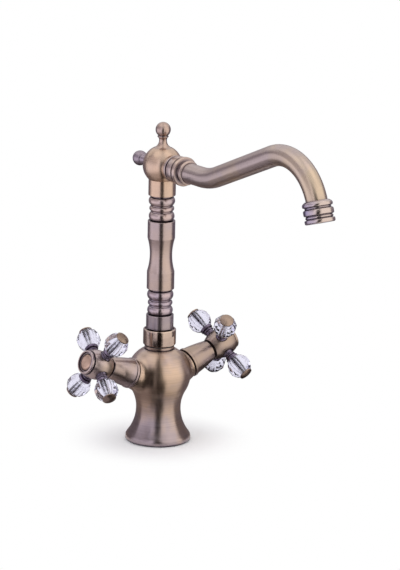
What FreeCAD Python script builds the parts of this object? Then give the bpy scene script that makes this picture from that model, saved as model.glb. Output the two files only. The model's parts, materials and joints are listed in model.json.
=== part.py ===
import FreeCAD, Part
import math
import os

# Two-handle basin mixer in millimetres. Origin: centre of the base on the deck.
# +Z is up, the spout points to -Y and the two handles point to -X (hot) and +X (cold).

# Clearances
SLIP = 0.05            # turned sleeves and spigots that are pushed together
RUNNING = 0.05         # shafts that turn in their bores
AIR = 0.3              # faces that pass each other without touching

# Base and bulb of the body
BASE_RADIUS = 29.2
RIM_ROUND = 6.0        # convex rounding of the base rim
RIM_HEIGHT = 3.0       # height where the rim is widest
FOOT_EDGE = 2.2        # rounding where the rim meets the deck
WAIST_RADIUS = 19.9
WAIST_HEIGHT = 30.0
BULB_RADIUS = 28.35
BULB_HEIGHT = 60.8
CROWN_RADIUS = 26.0    # rounding of the bulb above its widest place
SHOULDER_RADIUS = 14.0 # where the bulb ends under the crest
CREST_RADIUS = 13.2    # short neck between the bulb and the lock ring
CREST_HEIGHT = 2.9
CREST_GROOVE = 12.5

# Underside: hose cavity, gasket, stud and hose threads
CAVITY_MOUTH = 22.0
CAVITY_ROOF = 15.5
CAVITY_DEPTH = 20.0
GASKET_INNER = 22.9
GASKET_OUTER = 25.2
GASKET_DEPTH = 1.6
INLET_RADIUS = 4.5     # tapping hole of an M10x1 hose end
INLET_DEPTH = 14.0
INLET_SPREAD = 8.6     # each inlet from the middle
STUD_RADIUS = 3.4      # tapping hole of an M8 stud
STUD_DEPTH = 16.0
STUD_BACK = 9.5
WATERWAY = 3.0

# Swivel joint on top of the body
SPIGOT_RADIUS = 12.4
SPIGOT_LENGTH = 12.3
LOCK_SEAL_THICK = 1.2
LOCK_SEAL_RADIUS = 13.0
LOCK_RADIUS = 14.6
LOCK_LENGTH = 14.3
LOCK_LIP = 3.2         # inward lip that holds the column down
LOCK_EDGE = 1.0
FLAT_ACROSS = 28.0     # spanner flats of the lock ring
FLAT_SHORT = 5.6       # flats stop this far below the top
FLAT_TURN = 9.4        # where the nut came to rest, degrees from the front
SOCKET_DEPTH = 1.0     # recess in the top of the lock ring
SOCKET_RADIUS = 13.0
FERRULE_GAP = 0.5      # dark line between the lock ring and the ferrule
FOOT_RADIUS = 9.5
FOOT_DEPTH = 10.8      # foot below the shoulder of the body
FOOT_NECK = 10.0
FOOT_RISE = 7.0        # neck of the foot above the lock ring's recess
FLANGE_RADIUS = 11.7
FLANGE_THICK = 1.8
THRUST_THICK = 0.7
COLUMN_BORE = 6.5
RING_CORD = 0.9        # radius of an O-ring's section

# Column stack
TUBE_RADIUS = 8.0
TUBE_WALL = 1.5
SLEEVE_RADIUS = 12.2
SLEEVE_WAIST = 9.9
FERRULE_LENGTH = 12.7
LOWER_BEADS = 23.3
SLEEVE_LENGTH = 62.1
SLEEVE_BAND = 15.8     # straight band at each end of the sleeve
UPPER_BEADS = 22.7
BEAD_RADII = (11.4, 11.0, 11.7)   # lower, middle and upper bead of a stack
GROOVE_RADIUS = 9.5
NECK_RADIUS = 12.1
NECK_LENGTH = 27.0     # bottom of the neck to the centre of the ball
EDGE = 0.6             # small edge rounding on turned sleeves

# Ball head and its two finials
BALL_RADIUS = 17.5
TUBE_SOCKET = 10.0
FINIAL_BALL = 6.7
FINIAL_FOOT = 8.4
FINIAL_NECK = 3.45
FINIAL_TOP = 4.9
STUD_THREAD = 2.4
STUD_LENGTH = 7.0
TOP_FINIAL_RISE = 31.7   # ball head centre to finial ball centre
REAR_FINIAL_RISE = 34.0

# Spout union, distances from the centre of the ball
STUB_RADIUS = 11.0
STUB_END = 17.0
NIPPLE_RADIUS = 9.8
NIPPLE_END = 26.0
WASHER_THICK = 1.0
PIPE_FLANGE = 9.75
PIPE_FLANGE_THICK = 2.0
COLLAR_RADIUS = 13.0
COLLAR_END = 40.5

# Spout pipe
SPOUT_REACH = 218.9    # column axis to the end of the bent pipe
SPOUT_RUN = 57.7       # straight run before the first bend
DIP_RADIUS = 60.0
RISE_ANGLE = 22.9
ARCH_RADIUS = 47.0
OUTLET_ANGLE = 72.0    # slope of the outlet below the horizontal
PIPE_ROOT = 8.95
PIPE_TIP = 9.25
PIPE_BORE = 7.2
PIPE_TAIL = 3.0        # straight end inside the aerator housing

# Aerator
HOUSING_RADIUS = 12.95
HOUSING_RINGS = ((-0.5, 1.2), (4.8, 8.4), (12.6, 14.8))   # start and end along the outlet
HOUSING_BACK = 2.9
HOUSING_FRONT = 15.9
HOUSING_GROOVE = 11.5
INSERT_RADIUS = 10.0
INSERT_LENGTH = 9.9
SCREEN_THICK = 2.0
SCREEN_CELL = 1.05     # apothem of one hexagonal hole
SCREEN_WEB = 0.5
SCREEN_RINGS = 3
AERATOR_WASHER = 1.8

# Valves on two tilted axes that cross in the column's axis
VALVE_HEIGHT = 54.5    # where the axes cross
VALVE_TILT = 19.6
VALVE_DEPTH = 18.9     # seat below the boss face
SEAT_SEAL = 2.0
BOSS_PROUD = 2.05      # boss face beyond the bulb, along the axis
BOSS_RADIUS = 13.0
BOSS_FLARE = 4.5       # how much wider the boss is at its root
BOSS_FILLET = 10.0      # cast blend between the boss and the bulb
CARTRIDGE_SKIRT = 9.0
CARTRIDGE_THREAD = 10.2
CARTRIDGE_FLANGE = 10.9
CARTRIDGE_GLAND = 7.9
THREAD_LENGTH = 10.8
CARTRIDGE_FLANGE_THICK = 3.0
GLAND_LENGTH = 24.3    # gland beyond the boss face
CHAMBER_RADIUS = 7.0
CHAMBER_LENGTH = 10.5
DISC_THICK = 3.0
DISC_PORT = 2.6
BONNET_GAP = 1.2       # dark shadow gap between the boss and the bonnet
BONNET_LENGTH = 25.2
BONNET_LIP = 13.7      # turned lip at the wide end
LIP_LENGTH = 2.6
BONNET_RADIUS = 13.0
BONNET_TIP = 9.5

# Cross handle
HUB_GAP = 2.0          # dark shadow gap between the bonnet and the hub
HUB_LENGTH = 24.8
HUB_BACK_RADIUS = 9.55
HUB_RADIUS = 13.2
HUB_BELLY = 0.58       # where the barrel is widest, as a share of its length
HUB_NOSE = 11.4
HUB_RIM = 10.5
RIM_LENGTH = 2.2
RIM_GROOVE = 8.9
GROOVE_WIDTH = 1.0
WELL_RADIUS = 9.2      # sunk ring round the index cap
WELL_DEPTH = 1.5
ARM_PLACE = 10.7       # arms' plane from the back of the hub
ARM_TURN = 52.0        # first arm from the spout's side, degrees
ARMS = 4
SPINDLE_RADIUS = 4.0
SPINDLE_FLANGE = 6.6
SPINDLE_FLANGE_THICK = 3.0
SPINDLE_GRIP = 11.2    # spindle inside the hub
SCREW_RADIUS = 2.0
SCREW_HEAD = 3.8
SCREW_HEAD_THICK = 2.6
SCREW_LENGTH = 10.0
HUB_WEB = 4.0          # web between the spindle socket and the screw head
CAP_RADIUS = 7.8
CAP_SINK = 0.2         # crown of the index cap below the rim
CAP_THICK = 2.4
CAP_FLAT = 4.6         # nearly flat middle of the index cap
CLIP_RADIUS = 5.4
CLIP_THICK = 0.8
GROOVE_DEPTH = 0.7

# Crystal arms, distances from the handle's axis
ARM_SEAT = 11.4
ARM_GAP = 0.5          # dark line round the foot of an arm
ARM_ROOT = 7.2
ARM_THREAD = 2.5
ARM_BASE = 5.0
ARM_NECK = 4.2
ARM_FLANGE = 5.8
STEM_RADIUS = 2.3
CRYSTAL_CENTRE = 28.6
CRYSTAL_HALF = 8.7
CRYSTAL_RADIUS = 10.45
CRYSTAL_SHOULDER = 8.5
CRYSTAL_END = 6.2
CRYSTAL_BELT = 2.5     # half height of the belt of widest facets
CRYSTAL_SLOPE = 6.5    # where the main facets end
CRYSTAL_SIDES = 10
END_CAP_RADIUS = 6.1
END_CAP_EDGE = 1.3
END_CAP_DOME = 1.4
STEM_GRIP = 1.6        # stem inside the end cap

# Heights that follow from the stack
crown_middle = BULB_RADIUS - CROWN_RADIUS
body_top = BULB_HEIGHT + math.sqrt(CROWN_RADIUS ** 2 - (SHOULDER_RADIUS - crown_middle) ** 2)
crest_top = body_top + CREST_HEIGHT
spigot_top = body_top + SPIGOT_LENGTH
lock_bottom = crest_top + LOCK_SEAL_THICK
lock_top = lock_bottom + LOCK_LENGTH
flange_bottom = spigot_top + THRUST_THICK + 2 * SLIP
flange_top = flange_bottom + FLANGE_THICK
lip_bottom = lock_top - LOCK_LIP
ferrule_bottom = lock_top + FERRULE_GAP
ferrule_top = ferrule_bottom + FERRULE_LENGTH
sleeve_bottom = ferrule_top + LOWER_BEADS
sleeve_top = sleeve_bottom + SLEEVE_LENGTH
neck_bottom = sleeve_top + UPPER_BEADS
head_height = neck_bottom + NECK_LENGTH
foot_bottom = body_top - FOOT_DEPTH
foot_top = ferrule_bottom + FOOT_RISE

# Distances along a valve axis from where the two axes cross
tilt = math.radians(VALVE_TILT)
bulb_rise = (BULB_HEIGHT - VALVE_HEIGHT) * math.sin(tilt)
bulb_offset = (BULB_HEIGHT - VALVE_HEIGHT) * math.cos(tilt)
boss_face = bulb_rise + math.sqrt(BULB_RADIUS ** 2 - bulb_offset ** 2) + BOSS_PROUD
valve_seat = boss_face - VALVE_DEPTH
gland_end = boss_face + GLAND_LENGTH
bonnet_back = boss_face + BONNET_GAP
bonnet_end = bonnet_back + BONNET_LENGTH
hub_back = bonnet_end + HUB_GAP
hub_front = hub_back + HUB_LENGTH
arm_plane = hub_back + ARM_PLACE
spindle_tip = hub_back + SPINDLE_GRIP

ORIGIN = FreeCAD.Vector(0, 0, 0)
X_AXIS = FreeCAD.Vector(1, 0, 0)
Y_AXIS = FreeCAD.Vector(0, 1, 0)
Z_AXIS = FreeCAD.Vector(0, 0, 1)
FRONT = FreeCAD.Vector(0, -1, 0)

os.makedirs("parts", exist_ok=True)


def save(name, *solids):
    """Write one named piece, or a group of like pieces."""
    shape = solids[0] if len(solids) == 1 else Part.makeCompound(list(solids))
    shape.exportStep("parts/" + name + ".step")
    print(name, len(shape.Solids), "solids, volume", round(shape.Volume, 1), "valid", shape.isValid())


def at(point):
    """A (radius, height) pair as a point of the XZ plane."""
    return FreeCAD.Vector(point[0], 0, point[1])


def turn(*outline):
    """Solid turned about Z from a closed outline. A pair of pairs is an arc: (point on it, its end)."""
    edges = []
    here = outline[0]
    for step in outline[1:] + outline[:1]:
        curved = isinstance(step[0], tuple)
        there = step[1] if curved else step
        if curved:
            edges.append(Part.Arc(at(here), at(step[0]), at(there)).toShape())
        elif math.dist(here, there) > 1e-6:
            edges.append(Part.makeLine(at(here), at(there)))
        here = there
    return Part.Face(Part.Wire(edges)).revolve(ORIGIN, Z_AXIS, 360)


def bend(centre, radius, start, end):
    """A round stretch of an outline, from one angle to another about its centre, in degrees."""
    def on(angle):
        turned = math.radians(angle)
        return centre[0] + radius * math.cos(turned), centre[1] + radius * math.sin(turned)
    return on(start), (on((start + end) / 2), on(end))


def ring(inner, outer, low, high):
    """Plain ring about Z."""
    return turn((inner, low), (outer, low), (outer, high), (inner, high))


def rod(radius, low, high):
    """Plain round bar about Z."""
    return Part.makeCylinder(radius, high - low, FreeCAD.Vector(0, 0, low))


def o_ring(radius, cord, height):
    """O-ring about Z: radius to the middle of its section, and the section's own radius."""
    return Part.makeTorus(radius, cord, FreeCAD.Vector(0, 0, height))


def placed(shape, frame):
    """The shape moved from its own axis to a frame of the assembly."""
    moved = shape.copy()
    moved.Placement = frame.multiply(moved.Placement)
    return moved


def frame_along(origin, axis, across):
    """Frame whose Z runs along the axis and whose X points across."""
    return FreeCAD.Placement(origin, FreeCAD.Rotation(across, axis.cross(across), axis, "ZXY"))


def beads(low, high, shares):
    """Outline of three turned beads, each between two shares of the length."""
    length = high - low
    path = [(GROOVE_RADIUS, low)]
    for number, radius in enumerate(BEAD_RADII):
        lower = low + shares[2 * number] * length
        upper = low + shares[2 * number + 1] * length
        path.append((GROOVE_RADIUS, lower))
        path.append(((radius, (lower + upper) / 2), (GROOVE_RADIUS, upper)))
    path.append((GROOVE_RADIUS, high))
    return path


# Frames of the two valve axes, the spout union and the outlet
crossing = FreeCAD.Vector(0, 0, VALVE_HEIGHT)
valve_frames = {
    "left": frame_along(crossing, FreeCAD.Vector(-math.cos(tilt), 0, math.sin(tilt)), FRONT),
    "right": frame_along(crossing, FreeCAD.Vector(math.cos(tilt), 0, math.sin(tilt)), FRONT),
}
head_centre = FreeCAD.Vector(0, 0, head_height)
union_frame = frame_along(head_centre, FRONT, X_AXIS)
rear_frame = frame_along(head_centre, Y_AXIS, X_AXIS)
top_frame = frame_along(head_centre, Z_AXIS, X_AXIS)

# Bends of the spout's centre line in its upright plane
rise = math.radians(RISE_ANGLE)
fall = math.radians(OUTLET_ANGLE)
dip_end = SPOUT_RUN + DIP_RADIUS * math.sin(rise)
dip_end_height = head_height + DIP_RADIUS * (1 - math.cos(rise))
arch_reach = SPOUT_REACH - ARCH_RADIUS * math.sin(fall)
arch_start = arch_reach - ARCH_RADIUS * math.sin(rise)
rise_length = (arch_start - dip_end) / math.cos(rise)
arch_start_height = dip_end_height + rise_length * math.sin(rise)
arch_height = arch_start_height - ARCH_RADIUS * math.cos(rise)
outlet_height = arch_height + ARCH_RADIUS * math.cos(fall)
outlet_axis = FreeCAD.Vector(0, -math.cos(fall), -math.sin(fall))
outlet_frame = frame_along(FreeCAD.Vector(0, -SPOUT_REACH, outlet_height), outlet_axis, X_AXIS)


# Body: a cast vase with two valve bosses
def meets_bulb(edge):
    """True for the curved edge where a boss runs into the bulb."""
    middle = edge.valueAt((edge.FirstParameter + edge.LastParameter) / 2)
    for frame in valve_frames.values():
        local = frame.inverse().multVec(middle)
        flared = BOSS_RADIUS + BOSS_FLARE * (boss_face - local.z) / VALVE_DEPTH
        on_boss = abs(math.hypot(local.x, local.y) - flared) < 0.01
        if on_boss and valve_seat < local.z < boss_face - AIR and not isinstance(edge.Curve, Part.Line):
            return True
    return False


def make_body():
    drop = BULB_HEIGHT - WAIST_HEIGHT
    blend = (WAIST_RADIUS ** 2 + drop ** 2 - BULB_RADIUS ** 2) / (2 * (BULB_RADIUS - WAIST_RADIUS))
    inset = WAIST_RADIUS - BASE_RADIUS + RIM_ROUND
    fall_to_rim = WAIST_HEIGHT - RIM_HEIGHT
    flare = (inset ** 2 + fall_to_rim ** 2 - RIM_ROUND ** 2) / (2 * (RIM_ROUND - inset))
    blend_angle = math.degrees(math.atan2(drop, WAIST_RADIUS + blend))
    flare_angle = math.degrees(math.atan2(fall_to_rim, flare + inset))
    crown_angle = math.degrees(math.acos((SHOULDER_RADIUS - crown_middle) / CROWN_RADIUS))
    crest_low = crest_top - 2 * CREST_HEIGHT / 3
    bore = FOOT_RADIUS + RUNNING
    bore_floor = foot_bottom - 2 * AIR
    chamber_floor = VALVE_HEIGHT - COLUMN_BORE
    body = turn(
        (0, 0),
        *bend((BASE_RADIUS - FOOT_EDGE, FOOT_EDGE), FOOT_EDGE, -90, 0),
        *bend((BASE_RADIUS - RIM_ROUND, RIM_HEIGHT), RIM_ROUND, 0, flare_angle),
        *bend((WAIST_RADIUS + flare, WAIST_HEIGHT), flare, 180 + flare_angle, 180),
        *bend((WAIST_RADIUS + blend, WAIST_HEIGHT), blend, 180, 180 - blend_angle),
        *bend((0, BULB_HEIGHT), BULB_RADIUS, -blend_angle, 0),
        *bend((crown_middle, BULB_HEIGHT), CROWN_RADIUS, 0, crown_angle),
        (CREST_GROOVE, body_top),
        (CREST_GROOVE, crest_low),
        (CREST_RADIUS, crest_low),
        *bend((CREST_RADIUS - AIR, crest_top - AIR), AIR, 0, 90),
        (SPIGOT_RADIUS, crest_top),
        (SPIGOT_RADIUS, spigot_top),
        (0, spigot_top),
    )
    mixing_bore = turn(
        (0, chamber_floor),
        (COLUMN_BORE, chamber_floor),
        (COLUMN_BORE, bore_floor),
        (bore, bore_floor),
        (bore, spigot_top + 1),
        (0, spigot_top + 1),
    )
    boss = turn(
        (0, valve_seat),
        (BOSS_RADIUS + BOSS_FLARE, valve_seat),
        (BOSS_RADIUS, boss_face),
        (0, boss_face),
    )
    thread_start = boss_face - THREAD_LENGTH
    skirt_bore = CARTRIDGE_SKIRT + SLIP
    thread_bore = CARTRIDGE_THREAD + SLIP
    valve_bore = turn(
        (0, valve_seat),
        (skirt_bore, valve_seat),
        (skirt_bore, thread_start),
        (thread_bore, thread_start),
        (thread_bore, boss_face + 1),
        (0, boss_face + 1),
    )
    inlet_top = CAVITY_DEPTH + INLET_DEPTH
    cavity = turn(
        (0, -1),
        (CAVITY_MOUTH, -1),
        (CAVITY_MOUTH, 0),
        (CAVITY_ROOF, CAVITY_DEPTH),
        (0, CAVITY_DEPTH),
    )
    cuts = [
        cavity,
        mixing_bore,
        ring(GASKET_INNER, GASKET_OUTER, -1, GASKET_DEPTH),
        Part.makeCylinder(STUD_RADIUS, STUD_DEPTH + 1, FreeCAD.Vector(0, STUD_BACK, CAVITY_DEPTH - 1)),
    ]
    for frame in valve_frames.values():
        body = body.fuse(placed(boss, frame))
    body = body.makeFillet(BOSS_FILLET, [edge for edge in body.Edges if meets_bulb(edge)])
    for side, frame in valve_frames.items():
        way = -1 if side == "left" else 1
        mouth = FreeCAD.Vector(way * INLET_SPREAD, 0, CAVITY_DEPTH - 1)
        inlet_end = FreeCAD.Vector(way * INLET_SPREAD, 0, inlet_top - 1)
        seat = frame.multVec(FreeCAD.Vector(0, 0, valve_seat + 1))
        outlet = frame.multVec(FreeCAD.Vector(0, 0, valve_seat + CHAMBER_LENGTH / 2))
        chamber = FreeCAD.Vector(0, 0, outlet.z)
        feed = seat - inlet_end
        cross = chamber - outlet
        cuts.append(placed(valve_bore, frame))
        cuts.append(Part.makeCylinder(INLET_RADIUS, INLET_DEPTH + 1, mouth))
        cuts.append(Part.makeCylinder(WATERWAY, feed.Length, inlet_end, feed))
        cuts.append(Part.makeCylinder(WATERWAY, cross.Length, outlet, cross))
    return body.cut(cuts).removeSplitter()


save("body_casting", make_body())
save("base_gasket", ring(GASKET_INNER + SLIP, GASKET_OUTER - SLIP, 0, GASKET_DEPTH))


# Swivel joint: seal, thrust washer and lock ring hold the column's foot in the body
def make_lock_ring():
    thread = SPIGOT_RADIUS + SLIP
    nut = turn(
        (thread, lock_bottom),
        *bend((LOCK_RADIUS - LOCK_EDGE, lock_bottom + LOCK_EDGE), LOCK_EDGE, -90, 0),
        *bend((LOCK_RADIUS - LOCK_EDGE, lock_top - LOCK_EDGE), LOCK_EDGE, 0, 90),
        (SOCKET_RADIUS, lock_top),
        (SOCKET_RADIUS, lock_top - SOCKET_DEPTH),
        (FOOT_NECK + AIR, lock_top - SOCKET_DEPTH),
        (FOOT_NECK + AIR, lip_bottom),
        (thread, lip_bottom),
    )
    side = 2 * LOCK_RADIUS
    depth = LOCK_RADIUS - FLAT_ACROSS / 2
    height = LOCK_LENGTH - FLAT_SHORT
    for half_turn in (0, 180):
        corner = FreeCAD.Vector(-side / 2, -FLAT_ACROSS / 2 - 2 * depth, lock_bottom)
        slab = Part.makeBox(side, 2 * depth, height, corner)
        slab.rotate(ORIGIN, Z_AXIS, FLAT_TURN + half_turn)
        nut = nut.cut(slab)
    return nut


def make_column_foot():
    tube_socket = TUBE_RADIUS + SLIP
    socket_floor = foot_top - FOOT_RISE
    foot = turn(
        (COLUMN_BORE, foot_bottom),
        (FOOT_RADIUS - EDGE, foot_bottom),
        (FOOT_RADIUS, foot_bottom + EDGE),
        (FOOT_RADIUS, flange_bottom),
        (FLANGE_RADIUS, flange_bottom),
        (FLANGE_RADIUS, flange_top),
        (FOOT_NECK, flange_top),
        (FOOT_NECK, foot_top),
        (tube_socket, foot_top),
        (tube_socket, socket_floor),
        (COLUMN_BORE, socket_floor),
    )
    groove = FOOT_RADIUS - 2 * RING_CORD - SLIP
    for height in ring_heights:
        half = RING_CORD + SLIP
        foot = foot.cut(ring(groove, FOOT_RADIUS + 1, height - half, height + half))
    return foot


ring_heights = [foot_bottom + share * FOOT_DEPTH for share in (0.3, 0.8)]
ring_centre = FOOT_RADIUS - RING_CORD
save("lock_ring_seal", ring(SPIGOT_RADIUS + SLIP, LOCK_SEAL_RADIUS, crest_top, lock_bottom))
save("thrust_washer", ring(FOOT_RADIUS + AIR, SPIGOT_RADIUS - SLIP, spigot_top, spigot_top + THRUST_THICK))
save("lock_ring", make_lock_ring())
save("column_foot", make_column_foot())
save("column_o_rings", *[o_ring(ring_centre, RING_CORD, height) for height in ring_heights])

# Column: turned sleeves stacked on one riser tube
sleeve_bore = TUBE_RADIUS + SLIP
tube_bottom = foot_top - FOOT_RISE
tube_top = neck_bottom + TUBE_SOCKET
save("riser_tube", ring(TUBE_RADIUS - TUBE_WALL, TUBE_RADIUS, tube_bottom + SLIP, tube_top - SLIP))
save("ferrule", turn(
    (FOOT_NECK + SLIP, ferrule_bottom),
    *bend((SLEEVE_RADIUS - EDGE, ferrule_bottom + EDGE), EDGE, -90, 0),
    *bend((SLEEVE_RADIUS - EDGE, ferrule_top - EDGE), EDGE, 0, 90),
    (sleeve_bore, ferrule_top),
    (sleeve_bore, foot_top + SLIP),
    (FOOT_NECK + SLIP, foot_top + SLIP),
))
save("lower_beads", turn(
    (sleeve_bore, ferrule_top),
    *beads(ferrule_top, sleeve_bottom, (0.0, 0.325, 0.36, 0.555, 0.585, 0.955)),
    (sleeve_bore, sleeve_bottom),
))
save("upper_beads", turn(
    (sleeve_bore, sleeve_top),
    *beads(sleeve_top, neck_bottom, (0.0, 0.345, 0.375, 0.58, 0.61, 0.95)),
    (sleeve_bore, neck_bottom),
))


def make_sleeve():
    low_band = sleeve_bottom + SLEEVE_BAND
    high_band = sleeve_top - SLEEVE_BAND
    return turn(
        (sleeve_bore, sleeve_bottom),
        *bend((SLEEVE_RADIUS - EDGE, sleeve_bottom + EDGE), EDGE, -90, 0),
        (SLEEVE_RADIUS, low_band),
        ((SLEEVE_WAIST, (low_band + high_band) / 2), (SLEEVE_RADIUS, high_band)),
        *bend((SLEEVE_RADIUS - EDGE, sleeve_top - EDGE), EDGE, 0, 90),
        (sleeve_bore, sleeve_top),
    )


save("waist_sleeve", make_sleeve())


# Ball head with a spigot for the spout union and a spot face for each finial
def make_head():
    seat = math.sqrt(BALL_RADIUS ** 2 - (FINIAL_FOOT + RUNNING) ** 2)
    head = Part.makeSphere(BALL_RADIUS, head_centre)
    neck = turn(
        (0, neck_bottom),
        *bend((NECK_RADIUS - EDGE, neck_bottom + EDGE), EDGE, -90, 0),
        (NECK_RADIUS, head_height),
        (0, head_height),
    )
    stub = turn(
        (0, 0),
        (STUB_RADIUS, 0),
        (STUB_RADIUS, STUB_END),
        (NIPPLE_RADIUS, STUB_END),
        (NIPPLE_RADIUS, NIPPLE_END),
        (0, NIPPLE_END),
    )
    head = head.fuse([neck, placed(stub, union_frame)])
    hole = STUD_THREAD + SLIP
    hole_floor = seat - STUD_LENGTH - 1
    spot = turn(
        (0, hole_floor),
        (hole, hole_floor),
        (hole, seat),
        (FINIAL_FOOT + 2, seat),
        (FINIAL_FOOT + 2, BALL_RADIUS + 1),
        (0, BALL_RADIUS + 1),
    )
    cuts = [
        rod(TUBE_RADIUS + SLIP, neck_bottom - 1, tube_top),
        rod(COLUMN_BORE, neck_bottom, head_height),
        Part.makeSphere(COLUMN_BORE, head_centre),
        placed(rod(COLUMN_BORE, 0, NIPPLE_END + 1), union_frame),
        placed(spot, top_frame),
        placed(spot, rear_frame),
    ]
    return head.cut(cuts).removeSplitter()


def make_finial(rise_to_ball):
    """Turned finial on its spot face, with the head's centre at height 0."""
    seat = math.sqrt(BALL_RADIUS ** 2 - (FINIAL_FOOT + RUNNING) ** 2)
    ball_low = rise_to_ball - math.sqrt(FINIAL_BALL ** 2 - (FINIAL_TOP - EDGE) ** 2)
    seam = ball_low - EDGE
    slim = seat + 0.62 * (seam - seat)
    return turn(
        (0, seat - STUD_LENGTH),
        (STUD_THREAD, seat - STUD_LENGTH),
        (STUD_THREAD, seat),
        (FINIAL_FOOT, seat),
        ((FINIAL_NECK + 0.9, (seat + slim) / 2), (FINIAL_NECK, slim)),
        ((FINIAL_NECK + 0.35, (slim + seam) / 2), (FINIAL_TOP, seam - EDGE)),
        (FINIAL_TOP, seam),
        (FINIAL_TOP - EDGE, seam),
        (FINIAL_TOP - EDGE, ball_low),
        ((FINIAL_BALL, rise_to_ball), (0, rise_to_ball + FINIAL_BALL)),
    )


save("ball_head", make_head())
save("top_finial", placed(make_finial(TOP_FINIAL_RISE), top_frame))
save("rear_finial", placed(make_finial(REAR_FINIAL_RISE), rear_frame))


# Spout union: the ringed collar draws the pipe's flange against the head's nipple
flange_back = NIPPLE_END + WASHER_THICK
flange_front = flange_back + PIPE_FLANGE_THICK


def make_collar():
    bore = NIPPLE_RADIUS + SLIP
    groove = STUB_RADIUS - 0.1
    rim_back = COLLAR_END - 9.0
    rim_front = COLLAR_END - 4.2
    return turn(
        (bore, STUB_END),
        (groove, STUB_END),
        ((groove + 0.9, STUB_END + 1.7), (groove, STUB_END + 3.4)),
        (groove, STUB_END + 4.6),
        (groove + 1.0, STUB_END + 4.9),
        (groove + 1.3, rim_back - 1.5),
        (groove + 0.4, rim_back - 1.1),
        (groove + 0.4, rim_back),
        *bend((COLLAR_RADIUS - 1, rim_back + 1), 1, -90, 0),
        *bend((COLLAR_RADIUS - 1.2, rim_front - 1.2), 1.2, 0, 90),
        ((PIPE_ROOT + 2.1, rim_front + 1.1), (PIPE_ROOT + 1.5, COLLAR_END - 1.8)),
        ((PIPE_ROOT + 1.6, COLLAR_END - 0.9), (PIPE_ROOT + 1.0, COLLAR_END)),
        (PIPE_ROOT + SLIP, COLLAR_END),
        (PIPE_ROOT + SLIP, flange_front),
        (bore, flange_front),
    )


def spout_solid(root, tip, tail):
    """Round bar along the spout's centre line: run, dip bend, rising taper, arch and straight tail."""
    def section(radius, reach, height, direction):
        centre = FreeCAD.Vector(0, -reach, height)
        return Part.Face(Part.Wire(Part.makeCircle(radius, centre, direction)))
    level = FRONT
    rising = FreeCAD.Vector(0, -math.cos(rise), math.sin(rise))
    start = FreeCAD.Vector(0, -flange_back, head_height)
    dip_point = FreeCAD.Vector(0, -dip_end, dip_end_height)
    dip_centre = FreeCAD.Vector(0, -SPOUT_RUN, head_height + DIP_RADIUS)
    arch_centre = FreeCAD.Vector(0, -arch_reach, arch_height)
    outlet = FreeCAD.Vector(0, -SPOUT_REACH, outlet_height)
    run = Part.makeCylinder(root, SPOUT_RUN - flange_back, start, level)
    dip = section(root, SPOUT_RUN, head_height, level).revolve(dip_centre, X_AXIS, -RISE_ANGLE)
    if root == tip:
        climb = Part.makeCylinder(root, rise_length, dip_point, rising)
    else:
        climb = Part.makeCone(root, tip, rise_length, dip_point, rising)
    arch_face = section(tip, arch_start, arch_start_height, rising)
    arch = arch_face.revolve(arch_centre, X_AXIS, RISE_ANGLE + OUTLET_ANGLE)
    end = Part.makeCylinder(tip, tail, outlet, outlet_axis)
    return run.fuse([dip, climb, arch, end]).removeSplitter()


def make_pipe():
    flange = placed(rod(PIPE_FLANGE, flange_back, flange_front), union_frame)
    outer = spout_solid(PIPE_ROOT, PIPE_TIP, PIPE_TAIL).fuse(flange)
    return outer.cut(spout_solid(PIPE_BORE, PIPE_BORE, PIPE_TAIL + 1)).removeSplitter()


save("spout_collar", placed(make_collar(), union_frame))
save("spout_washer", placed(ring(PIPE_BORE, PIPE_FLANGE, NIPPLE_END, flange_back), union_frame))
save("spout_pipe", make_pipe())


# Aerator: three-ring housing, washer and a honeycomb insert
washer_back = PIPE_TAIL + SLIP
insert_back = washer_back + AERATOR_WASHER
insert_front = insert_back + INSERT_LENGTH


def make_housing():
    chamber = INSERT_RADIUS + SLIP
    edge = HOUSING_RADIUS - AIR
    mouth = PIPE_TIP + AIR
    path = [(PIPE_TIP + SLIP, 0), (mouth, -HOUSING_BACK), (mouth + EDGE, -HOUSING_BACK)]
    last = None
    for low, high in HOUSING_RINGS:
        path.append(((HOUSING_GROOVE, (last + low) / 2), (edge, low)) if last else (edge, low))
        path.append(((HOUSING_RADIUS, (low + high) / 2), (edge, high)))
        last = high
    path.append((edge - EDGE, HOUSING_FRONT))
    path.append((chamber, HOUSING_FRONT))
    path.append((chamber, washer_back))
    path.append((PIPE_TIP + SLIP, washer_back))
    return turn(*path)


def make_insert():
    wall = 1.2
    cup = turn(
        (INSERT_RADIUS - wall, insert_back),
        (INSERT_RADIUS, insert_back),
        (INSERT_RADIUS, insert_front),
        (0, insert_front),
        (0, insert_front - SCREEN_THICK),
        (INSERT_RADIUS - wall, insert_front - SCREEN_THICK),
    )
    pitch = 2 * SCREEN_CELL + SCREEN_WEB
    corner = SCREEN_CELL / math.cos(math.radians(30))
    turns = [math.radians(30 + 60 * step) for step in range(7)]
    start = insert_front - SCREEN_THICK - 1
    hexagon = [FreeCAD.Vector(corner * math.cos(a), corner * math.sin(a), start) for a in turns]
    cell = Part.Face(Part.makePolygon(hexagon)).extrude(FreeCAD.Vector(0, 0, SCREEN_THICK + 2))
    holes = []
    for row in range(-SCREEN_RINGS, SCREEN_RINGS + 1):
        for column in range(-SCREEN_RINGS, SCREEN_RINGS + 1):
            if abs(row + column) <= SCREEN_RINGS:
                across = pitch * (column + row / 2)
                along = pitch * row * math.cos(math.radians(30))
                holes.append(cell.translated(FreeCAD.Vector(across, along, 0)))
    return cup.cut(holes)


save("aerator_housing", placed(make_housing(), outlet_frame))
save("aerator_washer", placed(ring(PIPE_BORE, INSERT_RADIUS, washer_back, insert_back), outlet_frame))
save("aerator_insert", placed(make_insert(), outlet_frame))


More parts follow.
